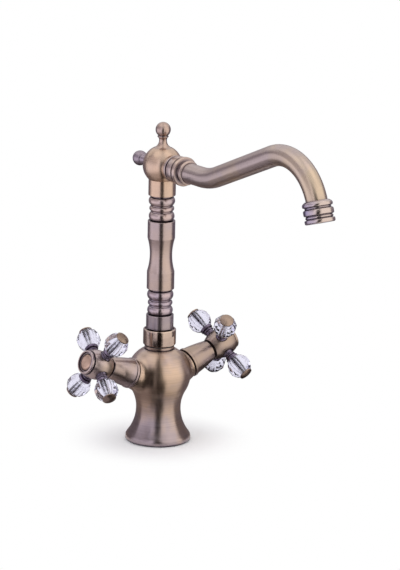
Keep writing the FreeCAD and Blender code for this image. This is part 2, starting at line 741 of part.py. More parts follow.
# Valves: a quarter-turn ceramic cartridge under a bell-shaped bonnet on each boss
cartridge_back = valve_seat + SEAT_SEAL
disc_joint = cartridge_back + DISC_THICK
moving_back = disc_joint + SLIP
moving_front = moving_back + DISC_THICK
spindle_back = moving_front
spindle_shoulder = spindle_back + SPINDLE_FLANGE_THICK
chamber_front = cartridge_back + CHAMBER_LENGTH
flange_end = boss_face + CARTRIDGE_FLANGE_THICK
spindle_ring = (chamber_front + gland_end) / 2
spindle_groove = SPINDLE_RADIUS - GROOVE_DEPTH
clip_back = gland_end + AIR
web_back = spindle_tip + AIR
web_front = web_back + HUB_WEB
cap_back = hub_front - CAP_SINK - CAP_THICK


def make_cartridge():
    thread_start = boss_face - THREAD_LENGTH
    shell = turn(
        (CHAMBER_RADIUS, cartridge_back),
        (CARTRIDGE_SKIRT, cartridge_back),
        (CARTRIDGE_SKIRT, thread_start + SLIP),
        (CARTRIDGE_THREAD, thread_start + SLIP),
        (CARTRIDGE_THREAD, boss_face),
        (CARTRIDGE_FLANGE, boss_face),
        (CARTRIDGE_FLANGE, flange_end),
        (CARTRIDGE_GLAND, flange_end),
        (CARTRIDGE_GLAND, gland_end),
        (SPINDLE_RADIUS + RUNNING, gland_end),
        (SPINDLE_RADIUS + RUNNING, chamber_front),
        (CHAMBER_RADIUS, chamber_front),
    )
    corner = FreeCAD.Vector(-CARTRIDGE_SKIRT - 1, -WATERWAY, moving_front)
    window = Part.makeBox(2 * CARTRIDGE_SKIRT + 2, 2 * WATERWAY, DISC_THICK, corner)
    return shell.cut(window)


def make_disc(low, high, radius):
    """Ceramic disc with two through ports side by side."""
    disc = rod(radius, low, high)
    offset = (radius - DISC_PORT) / 2 + 1
    for way in (-1, 1):
        start = FreeCAD.Vector(0, way * offset, low - 1)
        disc = disc.cut(Part.makeCylinder(DISC_PORT, high - low + 2, start))
    return disc


def make_spindle():
    spindle = turn(
        (0, spindle_back),
        (SPINDLE_FLANGE, spindle_back),
        (SPINDLE_FLANGE, spindle_shoulder),
        (SPINDLE_RADIUS, spindle_shoulder),
        (SPINDLE_RADIUS, spindle_tip),
        (SCREW_RADIUS + SLIP, spindle_tip),
        (SCREW_RADIUS + SLIP, spindle_tip - SCREW_LENGTH),
        (0, spindle_tip - SCREW_LENGTH),
    )
    half = GROOVE_DEPTH + SLIP
    seal_root = SPINDLE_RADIUS - 2 * GROOVE_DEPTH
    clear = SPINDLE_RADIUS + 1
    seal_groove = ring(seal_root, clear, spindle_ring - half, spindle_ring + half)
    clip_groove = ring(spindle_groove, clear, clip_back, clip_back + CLIP_THICK)
    return spindle.cut([seal_groove, clip_groove])


def make_clip():
    """Open retaining ring in the spindle's groove."""
    whole = ring(spindle_groove + SLIP, CLIP_RADIUS, clip_back + SLIP, clip_back + CLIP_THICK - SLIP)
    corner = FreeCAD.Vector(0, -SPINDLE_RADIUS / 2, clip_back - SLIP)
    gap = Part.makeBox(CLIP_RADIUS + 1, SPINDLE_RADIUS, 2 * CLIP_THICK, corner)
    return whole.cut(gap)


def make_bonnet():
    gland_bore = CARTRIDGE_GLAND + SLIP
    skirt_bore = CARTRIDGE_FLANGE + SLIP
    skirt_end = flange_end + SLIP
    lip_end = bonnet_back + LIP_LENGTH
    bell_middle = (BONNET_RADIUS + BONNET_TIP) / 2 + AIR
    return turn(
        (skirt_bore, bonnet_back),
        *bend((BONNET_LIP - EDGE, bonnet_back + EDGE), EDGE, -90, 0),
        *bend((BONNET_LIP - EDGE, lip_end - EDGE), EDGE, 0, 90),
        (BONNET_RADIUS, lip_end),
        ((bell_middle, (lip_end + bonnet_end) / 2), (BONNET_TIP, bonnet_end - EDGE)),
        (BONNET_TIP - EDGE, bonnet_end),
        (gland_bore, bonnet_end),
        (gland_bore, skirt_end),
        (skirt_bore, skirt_end),
    )


# Cross handle: barrel hub, index cap, screw and four crystal arms
def make_arm():
    """Turned arm along Z from the handle's axis: thread, seat, stepped collar and stem."""
    crystal_seat = CRYSTAL_CENTRE - CRYSTAL_HALF
    stem_end = CRYSTAL_CENTRE + CRYSTAL_HALF + STEM_GRIP
    span = crystal_seat - ARM_SEAT
    base_end = ARM_SEAT + 0.24 * span
    ring_start = ARM_SEAT + 0.40 * span
    ring_end = ARM_SEAT + 0.60 * span
    flange_start = ARM_SEAT + 0.72 * span
    return turn(
        (0, ARM_ROOT),
        (ARM_THREAD, ARM_ROOT),
        (ARM_THREAD, ARM_SEAT),
        (ARM_BASE, ARM_SEAT),
        ((ARM_BASE - 0.2, ARM_SEAT + 0.7 * (base_end - ARM_SEAT)), (ARM_NECK, base_end)),
        (ARM_NECK, ring_start),
        ((ARM_BASE, (ring_start + ring_end) / 2), (ARM_NECK, ring_end)),
        (ARM_NECK, flange_start),
        (ARM_FLANGE - 0.3, flange_start),
        (ARM_FLANGE, flange_start + 0.3),
        (ARM_FLANGE, crystal_seat),
        (STEM_RADIUS, crystal_seat),
        (STEM_RADIUS, stem_end),
        (0, stem_end),
    )


def make_crystal():
    """Cut crystal bead along Z: five bands of flat facets between two flat ends, drilled for the stem."""
    levels = [
        (-CRYSTAL_HALF, CRYSTAL_END),
        (-CRYSTAL_SLOPE, CRYSTAL_SHOULDER),
        (-CRYSTAL_BELT, CRYSTAL_RADIUS),
        (CRYSTAL_BELT, CRYSTAL_RADIUS),
        (CRYSTAL_SLOPE, CRYSTAL_SHOULDER),
        (CRYSTAL_HALF, CRYSTAL_END),
    ]
    angles = [2 * math.pi * side / CRYSTAL_SIDES for side in range(CRYSTAL_SIDES + 1)]
    rows = []
    for height, radius in levels:
        level = CRYSTAL_CENTRE + height
        rows.append([FreeCAD.Vector(radius * math.cos(a), radius * math.sin(a), level) for a in angles])
    faces = [Part.Face(Part.makePolygon(rows[0])), Part.Face(Part.makePolygon(rows[-1]))]
    for lower, upper in zip(rows, rows[1:]):
        for side in range(CRYSTAL_SIDES):
            corners = [lower[side], lower[side + 1], upper[side + 1], upper[side], lower[side]]
            faces.append(Part.Face(Part.makePolygon(corners)))
    shell = Part.Shell(faces)
    shell.sewShape()
    bead = Part.Solid(shell)
    if bead.Volume < 0:
        bead.reverse()
    reach = 2 * CRYSTAL_HALF
    return bead.cut(rod(STEM_RADIUS + SLIP, CRYSTAL_CENTRE - reach, CRYSTAL_CENTRE + reach))


def make_end_cap():
    seat = CRYSTAL_CENTRE + CRYSTAL_HALF
    edge = seat + END_CAP_EDGE
    crown = edge + END_CAP_DOME
    socket = STEM_RADIUS + SLIP
    dome = (END_CAP_RADIUS ** 2 + END_CAP_DOME ** 2) / (2 * END_CAP_DOME)
    halfway = END_CAP_RADIUS / 2
    return turn(
        (socket, seat),
        (END_CAP_RADIUS - 0.3, seat),
        (END_CAP_RADIUS, seat + 0.3),
        (END_CAP_RADIUS, edge),
        ((halfway, crown - dome + math.sqrt(dome ** 2 - halfway ** 2)), (0, crown)),
        (0, seat + STEM_GRIP + SLIP),
        (socket, seat + STEM_GRIP + SLIP),
    )


def make_hub(arm_frames):
    groove_front = hub_front - RIM_LENGTH
    groove_back = groove_front - GROOVE_WIDTH
    well_floor = hub_front - WELL_DEPTH
    barrel_middle = hub_back + HUB_BELLY * (groove_back - hub_back)
    head_bore = SCREW_HEAD + AIR
    hub = turn(
        (SPINDLE_RADIUS + SLIP, hub_back),
        (HUB_BACK_RADIUS, hub_back),
        ((HUB_RADIUS, barrel_middle), (HUB_NOSE, groove_back)),
        (RIM_GROOVE, groove_back),
        (RIM_GROOVE, groove_front),
        (HUB_RIM, groove_front),
        *bend((HUB_RIM - EDGE, hub_front - EDGE), EDGE, 0, 90),
        (WELL_RADIUS, hub_front),
        (WELL_RADIUS, well_floor),
        (CAP_RADIUS + SLIP, well_floor),
        (CAP_RADIUS + SLIP, cap_back),
        (head_bore, cap_back),
        (head_bore, web_front),
        (SCREW_RADIUS + SLIP, web_front),
        (SCREW_RADIUS + SLIP, web_back),
        (SPINDLE_RADIUS + SLIP, web_back),
    )
    pocket = turn(
        (0, ARM_ROOT - SLIP),
        (ARM_THREAD + SLIP, ARM_ROOT - SLIP),
        (ARM_THREAD + SLIP, ARM_SEAT),
        (ARM_BASE + ARM_GAP, ARM_SEAT),
        (ARM_BASE + ARM_GAP, HUB_RADIUS + 1),
        (0, HUB_RADIUS + 1),
    )
    return hub.cut([placed(pocket, frame) for frame in arm_frames])


def make_screw():
    slot_floor = FreeCAD.Vector(-SCREW_HEAD - 1, -0.5, web_front + SCREW_HEAD_THICK - 1.2)
    slot = Part.makeBox(2 * SCREW_HEAD + 2, 1.0, 1.2, slot_floor)
    screw = turn(
        (0, web_front - SCREW_LENGTH),
        (SCREW_RADIUS, web_front - SCREW_LENGTH),
        (SCREW_RADIUS, web_front),
        (SCREW_HEAD, web_front),
        (SCREW_HEAD, web_front + SCREW_HEAD_THICK - 0.8),
        (SCREW_HEAD - 0.8, web_front + SCREW_HEAD_THICK),
        (0, web_front + SCREW_HEAD_THICK),
    )
    return screw.cut(slot)


def make_index_cap():
    plug_outer = SCREW_HEAD + AIR - SLIP
    front = hub_front - CAP_SINK
    edge_middle = (CAP_RADIUS + CAP_FLAT) / 2 + 0.2
    plug_end = web_front + SCREW_HEAD_THICK + 2 * AIR
    return turn(
        (plug_outer - 1, plug_end),
        (plug_outer, plug_end),
        (plug_outer, cap_back),
        (CAP_RADIUS, cap_back),
        (CAP_RADIUS, cap_back + EDGE),
        ((edge_middle, front - 0.3 * (CAP_THICK - EDGE)), (CAP_FLAT, front - 0.1)),
        (0, front),
        (0, cap_back),
        (plug_outer - 1, cap_back),
    )


for side, frame in valve_frames.items():
    way = 1 if side == "left" else -1
    arm_frames = []
    for number in range(ARMS):
        angle = math.radians(way * ARM_TURN + 360 * number / ARMS)
        outward = FreeCAD.Vector(math.cos(angle), math.sin(angle), 0)
        arm_frames.append(frame_along(FreeCAD.Vector(0, 0, arm_plane), outward, Z_AXIS))
    fixed = {
        "seat_seal": ring(DISC_PORT + 1, CARTRIDGE_SKIRT - SLIP, valve_seat, cartridge_back),
        "cartridge": make_cartridge(),
        "fixed_disc": make_disc(cartridge_back, disc_joint, CHAMBER_RADIUS - SLIP),
        "bonnet": make_bonnet(),
    }
    turning = {
        "moving_disc": make_disc(moving_back, moving_front, SPINDLE_FLANGE),
        "spindle": make_spindle(),
        "spindle_o_ring": o_ring(SPINDLE_RADIUS - GROOVE_DEPTH, GROOVE_DEPTH, spindle_ring),
        "spindle_clip": make_clip(),
        "handle_hub": make_hub(arm_frames),
        "handle_screw": make_screw(),
        "index_cap": make_index_cap(),
    }
    for name, shape in {**fixed, **turning}.items():
        save(side + "_" + name, placed(shape, frame))
    arm_places = [frame.multiply(arm) for arm in arm_frames]
    save(side + "_arms", *[placed(make_arm(), place) for place in arm_places])
    save(side + "_end_caps", *[placed(make_end_cap(), place) for place in arm_places])
    for number, place in enumerate(arm_places, 1):
        save(side + "_crystal_" + str(number), placed(make_crystal(), place))
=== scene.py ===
# %% [markdown]
# # A basin mixer in antique brass with crystal handles
#
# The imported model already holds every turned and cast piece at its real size. This lesson gives
# each of them the finish of the real tap, cuts the crystal beads, and lights the whole as a small
# still life. Everything is in metres, in the frame of the model: +Z up, the spout to -Y, the hot
# handle to -X.

# %% Load the model
import json
import math
import bmesh
import bpy
from mathutils import Matrix, Vector


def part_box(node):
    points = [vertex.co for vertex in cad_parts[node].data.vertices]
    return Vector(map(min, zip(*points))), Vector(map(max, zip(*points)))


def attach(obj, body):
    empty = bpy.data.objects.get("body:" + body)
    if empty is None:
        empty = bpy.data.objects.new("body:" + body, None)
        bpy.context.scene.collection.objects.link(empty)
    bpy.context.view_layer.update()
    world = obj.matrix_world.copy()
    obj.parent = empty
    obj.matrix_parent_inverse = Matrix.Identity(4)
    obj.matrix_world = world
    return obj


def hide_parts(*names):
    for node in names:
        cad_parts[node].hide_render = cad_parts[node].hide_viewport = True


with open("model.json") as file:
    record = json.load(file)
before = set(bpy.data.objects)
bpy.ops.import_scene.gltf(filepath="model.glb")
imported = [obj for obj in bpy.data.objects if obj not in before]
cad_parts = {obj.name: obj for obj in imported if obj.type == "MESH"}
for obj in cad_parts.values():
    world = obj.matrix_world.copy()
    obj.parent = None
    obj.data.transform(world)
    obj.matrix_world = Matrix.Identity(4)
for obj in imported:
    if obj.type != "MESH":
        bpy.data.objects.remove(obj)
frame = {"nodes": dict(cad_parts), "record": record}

nodes = frame["nodes"]
scene = bpy.context.scene
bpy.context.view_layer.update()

# %% [markdown]
# Colours are easiest to choose as the hex values that a picture editor shows. Blender's shaders add
# light, so they need linear values, and one function does that change for every colour in this
# file. Sizes of patterns and outlines are written in millimetres.

# %% Colours and millimetres
MM = 0.001


def linear(code, alpha=1.0):
    """An sRGB hex colour as linear red, green, blue and alpha."""
    shares = [int(code[place:place + 2], 16) / 255 for place in (1, 3, 5)]
    bent = [share / 12.92 if share <= 0.04045 else ((share + 0.055) / 1.055) ** 2.4
            for share in shares]
    return (*bent, alpha)


print("warm brass in linear light:", linear("#B5977A"))

# %% [markdown]
# A material is a small net of nodes. One helper fills or links the inputs of a node, and the next
# adds a node with its settings, so a finish can be read from top to bottom like a recipe. A Mix
# node has sockets for each kind of data, so its colour sockets are known by number.

# %% One helper for every node
SHARE, FIRST, SECOND, MIXED = 0, 6, 7, 2


def fill(tree, node, inputs):
    """Sets each of these inputs to a value, or links it to another node's socket."""
    for name, value in inputs.items():
        if isinstance(value, bpy.types.NodeSocket):
            tree.links.new(value, node.inputs[name])
        else:
            node.inputs[name].default_value = value


def add(tree, kind, settings=None, inputs=None):
    """A node with its settings and its inputs."""
    made = tree.nodes.new(kind)
    for name, value in (settings or {}).items():
        setattr(made, name, value)
    fill(tree, made, inputs or {})
    return made


def new_material(name):
    """An empty material and the Principled shader that it ends in."""
    material = bpy.data.materials.new(name)
    material.use_nodes = True
    tree = material.node_tree
    tree.nodes.clear()
    shader = add(tree, "ShaderNodeBsdfPrincipled")
    add(tree, "ShaderNodeOutputMaterial", inputs={"Surface": shader.outputs[0]})
    return material, tree, shader


print("helpers for nodes and materials are ready")

# %% [markdown]
# The camera stands three metres away, a little to the left of the spout and above the handles, and
# leans one degree, because the tap leans that much in the photograph. Its aim is a point beside the
# column, so that the long spout has room on the right. The offsets of that point are in pixels of
# the photograph, which at this distance have one size in metres.

# %% Where the camera stands
AZIMUTH = math.radians(-35.956)
ELEVATION = math.radians(14.225)
ROLL = math.radians(1.01)
DISTANCE = 3.0
FOCAL_PIXELS = 3386.7
AIM_RIGHT = 39.5       # pixels
AIM_DOWN = 3.4         # pixels
MIDDLE = Vector((0, 0, 0.145))


def direction(azimuth, elevation):
    """The way to a place that is turned this far from the spout's side and raised this much."""
    flat = math.cos(elevation)
    return Vector((math.sin(azimuth) * flat, -math.cos(azimuth) * flat, math.sin(elevation)))


back = direction(AZIMUTH, ELEVATION)
level = Vector((math.cos(AZIMUTH), math.sin(AZIMUTH), 0))
upright = back.cross(level)
right = math.cos(ROLL) * level + math.sin(ROLL) * upright
up = math.cos(ROLL) * upright - math.sin(ROLL) * level
pixel = DISTANCE / FOCAL_PIXELS
stand = MIDDLE + DISTANCE * back
aim = MIDDLE + right * (AIM_RIGHT * pixel) - up * (AIM_DOWN * pixel)
print("camera at", [round(value, 3) for value in stand])

# %% [markdown]
# A camera looks along its own -Z, with +Y up in the picture, so its three axes follow from the place
# and the aim. A long lens keeps the column's sides parallel, as in the photograph. Blender counts a
# lens in millimetres of a sensor, and the sensor's height stands for the height of the picture.

# %% The camera
FRAME_HEIGHT = 570     # pixels
SENSOR = 36.0          # mm
FAR_LIMIT = 50.0


def laid_along(x_axis, y_axis, z_axis, place):
    """The matrix that lays an object's axes along these directions, with its origin here."""
    matrix = Matrix((x_axis, y_axis, z_axis)).transposed().to_4x4()
    matrix.translation = place
    return matrix


look = (stand - aim).normalized()
across = up.cross(look).normalized()
camera_data = bpy.data.cameras.new("camera")
camera_data.sensor_fit = "VERTICAL"
camera_data.sensor_height = SENSOR
camera_data.lens = FOCAL_PIXELS * SENSOR / FRAME_HEIGHT
camera_data.clip_end = FAR_LIMIT
camera = bpy.data.objects.new("camera", camera_data)
camera.matrix_world = laid_along(across, look.cross(across), look, stand)
scene.collection.objects.link(camera)
scene.camera = camera
print("lens of", round(camera_data.lens, 1), "mm")

# %% [markdown]
# Every turned piece was brushed while it spun, so its lines run round its own axis. Two things
# follow from the axis: a turn that brings it upright, for the pattern, and a far point on it. The
# direction from that far point to a place on the surface lies along the piece, and a brushed
# surface blurs its reflections that way. The arms point away from the middle of the hub, which the
# four beads give.

# %% The axis of each turned piece
TILT = math.radians(19.6)
VALVES = Vector((0, 0, 0.0545))
HEAD = sum(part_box("spout_collar"), Vector()).z / 2
BEADS = range(1, 5)
valve_axes = {
    "left": Vector((-math.cos(TILT), 0, math.sin(TILT))),
    "right": Vector((math.cos(TILT), 0, math.sin(TILT))),
}
axes = {"column": ((0, 0, 0), (0, 0, -1)), "spout": ((math.pi / 2, 0, 0), (0, 1, HEAD))}
hubs = {}
for side, axis in valve_axes.items():
    corners = [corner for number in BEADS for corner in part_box(f"{side}_crystal_{number}")]
    hubs[side] = sum(corners, Vector()) / len(corners)
    turn = math.pi / 2 - TILT
    axes[side] = ((0, turn if side == "left" else -turn, 0), VALVES - axis)
    axes[side + "_arms"] = ((0, 0, 0), hubs[side])
print("middle of the left hub:", [round(value / MM, 1) for value in hubs["left"]], "mm")

# %% [markdown]
# The tap is brass that was plated, darkened in a bath and then brushed, so it is a metal with a warm
# grey-brown tone and fine lines. The lines come from a noise that is stretched: very fine along the
# piece's axis and long around it. A broad noise makes the colour drift between gold and plum, as the
# bath does, and along a given axis the drift can lean towards gold.

# %% Brush lines and the colours of the bath
BRUSH_PITCH = 0.5      # mm between brush lines; finer ones would not show at this image size
BRUSH_STRETCH = 90     # length of a line round the piece, in pitches
CLOUD = 30.0           # mm across one cloud of the darkening


def brush_lines(tree, place, turn):
    """Noise that is fine along an axis, which the turn brings upright, and long around it."""
    upright = add(tree, "ShaderNodeMapping", None, {"Vector": place, "Rotation": turn})
    fine = 1 / (BRUSH_PITCH * MM)
    coarse = fine / BRUSH_STRETCH
    stretch = add(tree, "ShaderNodeMapping", None,
                  {"Vector": upright.outputs[0], "Scale": (coarse, coarse, fine)})
    noise = add(tree, "ShaderNodeTexNoise", None,
                {"Vector": stretch.outputs[0], "Scale": 1.0, "Detail": 3.0, "Roughness": 0.6})
    return noise.outputs[0]


def bath_colour(tree, place, gold, plum, rubbed):
    """Clouds of gold and plum; rubbed is an axis, its plum and gold ends in mm, and a share."""
    cloud = add(tree, "ShaderNodeTexNoise", None,
                {"Vector": place, "Scale": 1 / (CLOUD * MM), "Detail": 3.0, "Roughness": 0.55})
    drift = cloud.outputs[0]
    if rubbed:
        way, plain, gold_end, share = rubbed
        parted = add(tree, "ShaderNodeSeparateXYZ", None, {0: place})
        lift = add(tree, "ShaderNodeMapRange", None,
                   {"Value": parted.outputs[way], "From Min": plain * MM, "From Max": gold_end * MM,
                    "To Min": -share, "To Max": share})
        lean = add(tree, "ShaderNodeMath", {"operation": "ADD"}, {0: drift, 1: lift.outputs[0]})
        drift = lean.outputs[0]
    tone = add(tree, "ShaderNodeMapRange", None,
               {"Value": drift, "From Min": 0.36, "From Max": 0.64})
    mixed = add(tree, "ShaderNodeMix", {"data_type": "RGBA"},
                {SHARE: tone.outputs[0], FIRST: linear(plum), SECOND: linear(gold)})
    return mixed.outputs[MIXED]


print("brush lines every", BRUSH_PITCH, "mm, clouds of", CLOUD, "mm")

# %% [markdown]
# In grooves and corners the brush did not reach, so a lavender-grey patina stayed there, and a
# near-black in the narrowest ones. The same darkening is also painted shade, which falls into every
# crevice, where separate pieces meet and near the floor. The Ambient Occlusion node finds those
# places, because it measures how open a point is: 1 on a free surface, and less where something
# stands near.

# %% Patina and painted shade in the grooves
PATINA_AND_SHADE = [             # colour, and how open a place is where the stain starts and where it is full
    ("#5C525F", 0.95, 0.55),
    ("#1E1718", 0.52, 0.25),
]


def tarnished(tree, colour, tarnish, reach):
    """The colour with this share of patina and painted shade near things within reach, in mm."""
    # patina and painted shade grow where the Ambient Occlusion finds the point closed in
    air = add(tree, "ShaderNodeAmbientOcclusion", {"samples": 8}, {"Distance": reach * MM})
    for shade_and_patina, starts, full in PATINA_AND_SHADE:
        closed = add(tree, "ShaderNodeMapRange", None,
                     {"Value": air.outputs["AO"], "From Min": starts, "From Max": full,
                      "To Max": tarnish})
        mixed = add(tree, "ShaderNodeMix", {"data_type": "RGBA"},
                    {SHARE: closed.outputs[0], FIRST: colour, SECOND: linear(shade_and_patina)})
        colour = mixed.outputs[MIXED]
    return colour


print(len(PATINA_AND_SHADE), "stains, the darker one in the narrowest places")

# %% [markdown]
# The shader puts these together. A brush line makes the metal a little darker or lighter, smoother
# or rougher, and dents it by a few hundredths of a millimetre. The tangent tells the shader which
# way a brushed surface blurs what it mirrors, and that is along the piece. The bent pipe has no
# single axis, so its tangent is square to the surface's normal and to X, round which it bends.

# %% Antique brushed brass
BRUSH_DEPTH = 0.04     # mm
STREAK_DARK = 0.6
STREAK_LIGHT = 0.3
SMOOTHER = 0.05
ROUGHER = 0.07
BLUR = 0.65


def lengthways(tree, coordinates, axis):
    """The direction along a piece at each of its points, in the world's frame."""
    if axis:
        along = add(tree, "ShaderNodeVectorMath", {"operation": "SUBTRACT"},
                    {0: coordinates.outputs["Object"], 1: axis[1]})
    else:
        along = add(tree, "ShaderNodeVectorMath", {"operation": "CROSS_PRODUCT"},
                    {0: (1, 0, 0), 1: coordinates.outputs["Normal"]})
    turned = add(tree, "ShaderNodeVectorTransform",
                 {"vector_type": "VECTOR", "convert_from": "OBJECT", "convert_to": "WORLD"},
                 {"Vector": along.outputs[0]})
    return turned.outputs[0]


def brushed_brass(name, axis, gold, plum, roughness,
                  depth=0.12, tarnish=0.85, reach=3.5, rubbed=None):
    """Brushed metal with lines round an axis, or round the bent pipe where the axis is None."""
    material, tree, shader = new_material(name)
    coordinates = add(tree, "ShaderNodeTexCoord")
    place = coordinates.outputs["Object"]
    turn, _ = axis or axes["spout"]
    lines = brush_lines(tree, place, turn)
    streak = add(tree, "ShaderNodeMapRange", None,
                 {"Value": lines, "From Min": 0.3, "From Max": 0.7,
                  "To Min": 1 - STREAK_DARK * depth, "To Max": 1 + STREAK_LIGHT * depth})
    brushed = add(tree, "ShaderNodeVectorMath", {"operation": "SCALE"},
                  {0: bath_colour(tree, place, gold, plum, rubbed), "Scale": streak.outputs[0]})
    rough = add(tree, "ShaderNodeMapRange", None,
                {"Value": lines, "From Min": 0.25, "From Max": 0.75,
                 "To Min": roughness - SMOOTHER, "To Max": roughness + ROUGHER})
    bump = add(tree, "ShaderNodeBump", None,
               {"Height": lines, "Strength": depth, "Distance": BRUSH_DEPTH * MM})
    fill(tree, shader, {
        "Base Color": tarnished(tree, brushed.outputs[0], tarnish, reach),
        "Metallic": 1.0,
        "Roughness": rough.outputs[0],
        "Normal": bump.outputs[0],
        "Anisotropic": BLUR,
        "Tangent": lengthways(tree, coordinates, axis),
    })
    return material


machined = brushed_brass("machined_brass", axes["column"], "#B99F70", "#AA9166", 0.22, depth=0.3)
steel = brushed_brass("plain_steel", axes["column"], "#B9B8B6", "#AFAFAE", 0.30, depth=0.3)
print("machined brass and steel for the inside")

# %% [markdown]
# The bath works unevenly, and small pieces come out of it darker than large ones. So each family of
# pieces has its own gold and its own plum. On the body the tone leans from plum at the foot to gold
# higher up. The lock ring was polished instead of brushed, and mirrors more.

# %% Tones of the body and the column
tones = {}


def antique(family, pieces, axis, gold, plum, roughness, **rest):
    """One tone of antique brass, kept for these pieces."""
    tone = brushed_brass("antique_brass_" + family, axis, gold, plum, roughness, **rest)
    tones.update({piece: tone for piece in pieces})


column = axes["column"]
antique("body", ["body_casting"], column, "#C7AD99", "#AA9B9E", 0.33,
        depth=0.25, rubbed=("Z", 8, 36, 0.14))
antique("dark_ring", ["ferrule", "column_foot"], column, "#A69899", "#998D97", 0.33)
antique("lower_beads", ["lower_beads"], column, "#BAA6A6", "#ADA0AD", 0.29)
antique("sleeve", ["waist_sleeve"], column, "#B7A298", "#AB9B9D", 0.30)
antique("upper_beads", ["upper_beads"], column, "#C1A99F", "#B4A4A8", 0.29)
antique("ball", ["ball_head"], column, "#CDAF97", "#BEA798", 0.30, tarnish=0.45)
antique("finial", ["top_finial"], column, "#BCA293", "#AC9993", 0.28)
tones["lock_ring"] = brushed_brass("polished_brass", column, "#CAB5A6", "#B5A097", 0.16,
                                   depth=0.05, tarnish=0.4)
print("tones for", len(tones), "nodes of the body and the column")

# %% [markdown]
# The spout lies along Y, so its union nut and the finial behind it are brushed round that axis.
# Towards the end of the spout the pipe and the outlet's rings lean to gold. That gold is a painted
# warm highlight, where the bend and the outlet mirror the warm light on the right.

# %% Tones of the spout
spout = axes["spout"]
antique("dark_union", ["rear_finial"], spout, "#A89AA1", "#9B8E98", 0.34)
antique("union", ["spout_collar"], spout, "#CBB19F", "#BDABA8", 0.31, tarnish=1.0, reach=6.0)
# the lean to gold along Y is a painted warm highlight on the bend and the outlet
antique("pipe", ["spout_pipe"], None, "#C4B09B", "#B5A5A2", 0.30,
        tarnish=0.45, reach=6.0, rubbed=("Y", -180, -222, 0.15))
antique("outlet", ["aerator_housing"], column, "#C2B2AB", "#988EA6", 0.26,
        tarnish=0.95, reach=6.0, rubbed=("Y", -216, -233, 0.2))
print("tones for", len(tones), "nodes with the spout")

# %% [markdown]
# The same brass is given a lighter tone on the left handle and a darker one on the right. This is
# painted light and shade, as the two handles are lit differently. Their thin arms are the darkest
# pieces of the tap, the domed caps at the ends of the arms are browner, and the index caps in the hubs
# kept a copper tone.

# %% Tones of the handles
# lighter tones on the left, darker on the right: painted light and shade on the two handles
BONNETS = {"left": ("#BFAA9D", "#B2A1A3"), "right": ("#AF9A8B", "#A29192")}
HUBS = {"left": ("#CAB5A8", "#BDACAE"), "right": ("#B09B8A", "#A39291")}
for side in valve_axes:
    valve, arms = axes[side], axes[side + "_arms"]
    antique("bonnet_" + side, [side + "_bonnet"], valve, *BONNETS[side], 0.33)
    antique("hub_" + side, [side + "_handle_hub"], valve, *HUBS[side], 0.33)
    tones[side + "_arms"] = brushed_brass(
        "dark_brass_" + side, arms, "#8A7F92", "#756A80", 0.33, depth=0.08)
    tones[side + "_end_caps"] = brushed_brass(
        "domed_brass_" + side, arms, "#AA9482", "#958279", 0.33, depth=0.08)
    tones[side + "_index_cap"] = brushed_brass(
        "copper_" + side, valve, "#CEAF9C", "#BFA08E", 0.31, depth=0.2)
print("tones for", len(tones), "nodes with the handles")

# %% [markdown]
# Seals are black rubber, the aerator's screen is grey acetal and the discs are white alumina. They
# hardly show, yet each gets the grain of the real thing: a mottled matte skin, moulded and slightly
# uneven, or ground almost smooth.

# %% Rubber, acetal and alumina
GRAIN_DEPTH = 0.05     # mm
GRAIN_STRENGTH = 0.2
GLOSS_SPREAD = 0.08


def mottled(name, light, dark, grain, roughness):
    """A plain dielectric with a grain of this size in millimetres."""
    material, tree, shader = new_material(name)
    place = add(tree, "ShaderNodeTexCoord")
    specks = add(tree, "ShaderNodeTexNoise", None,
                 {"Vector": place.outputs["Object"], "Scale": 1 / (grain * MM), "Detail": 4.0})
    colour = add(tree, "ShaderNodeMix", {"data_type": "RGBA"},
                 {SHARE: specks.outputs[0], FIRST: linear(dark), SECOND: linear(light)})
    rough = add(tree, "ShaderNodeMapRange", None,
                {"Value": specks.outputs[0],
                 "To Min": roughness - GLOSS_SPREAD, "To Max": roughness + GLOSS_SPREAD})
    bump = add(tree, "ShaderNodeBump", None,
               {"Height": specks.outputs[0], "Strength": GRAIN_STRENGTH,
                "Distance": GRAIN_DEPTH * MM})
    fill(tree, shader, {
        "Base Color": colour.outputs[MIXED],
        "Roughness": rough.outputs[0],
        "Normal": bump.outputs[0],
    })
    return material


rubber = mottled("black_rubber", "#2A2729", "#161415", 0.8, 0.6)
acetal = mottled("grey_acetal", "#B8B6B0", "#A3A19B", 1.0, 0.45)
alumina = mottled("white_alumina", "#EFEDE8", "#E2E0DA", 0.6, 0.25)
print("rubber, acetal and alumina, rough to within", GLOSS_SPREAD)

# %% [markdown]
# The beads are lead crystal, cut and polished: clear, heavy, with a higher IOR than window glass and
# a trace of lavender. The flat facets do the work, so the shader stays plain. A faint noise in the
# roughness stands for the polishing marks, and a coarser grind for the wall of the bore.

# %% Cut crystal
CRYSTAL_TINT = "#E6E4F5"
CRYSTAL_IOR = 1.54
POLISH_MARK = 1.5      # mm


def cut_crystal(name, smoothest, roughest):
    """Clear crystal, polished or ground between these roughnesses."""
    material, tree, shader = new_material(name)
    place = add(tree, "ShaderNodeTexCoord")
    marks = add(tree, "ShaderNodeTexNoise", None,
                {"Vector": place.outputs["Object"], "Scale": 1 / (POLISH_MARK * MM), "Detail": 2.0})
    rough = add(tree, "ShaderNodeMapRange", None,
                {"Value": marks.outputs[0], "From Min": 0.3, "From Max": 0.7,
                 "To Min": smoothest, "To Max": roughest})
    fill(tree, shader, {
        "Base Color": linear(CRYSTAL_TINT),
        "Roughness": rough.outputs[0],
        "IOR": CRYSTAL_IOR,
        "Transmission Weight": 1.0,
    })
    return material


crystal = cut_crystal("cut_lead_crystal", 0.02, 0.06)
ground = cut_crystal("ground_crystal_bore", 0.30, 0.45)
print("crystal with an IOR of", CRYSTAL_IOR)

# %% [markdown]
# Each node of the model takes its tone by name, and what hides inside takes its finish by its slot
# in the record.

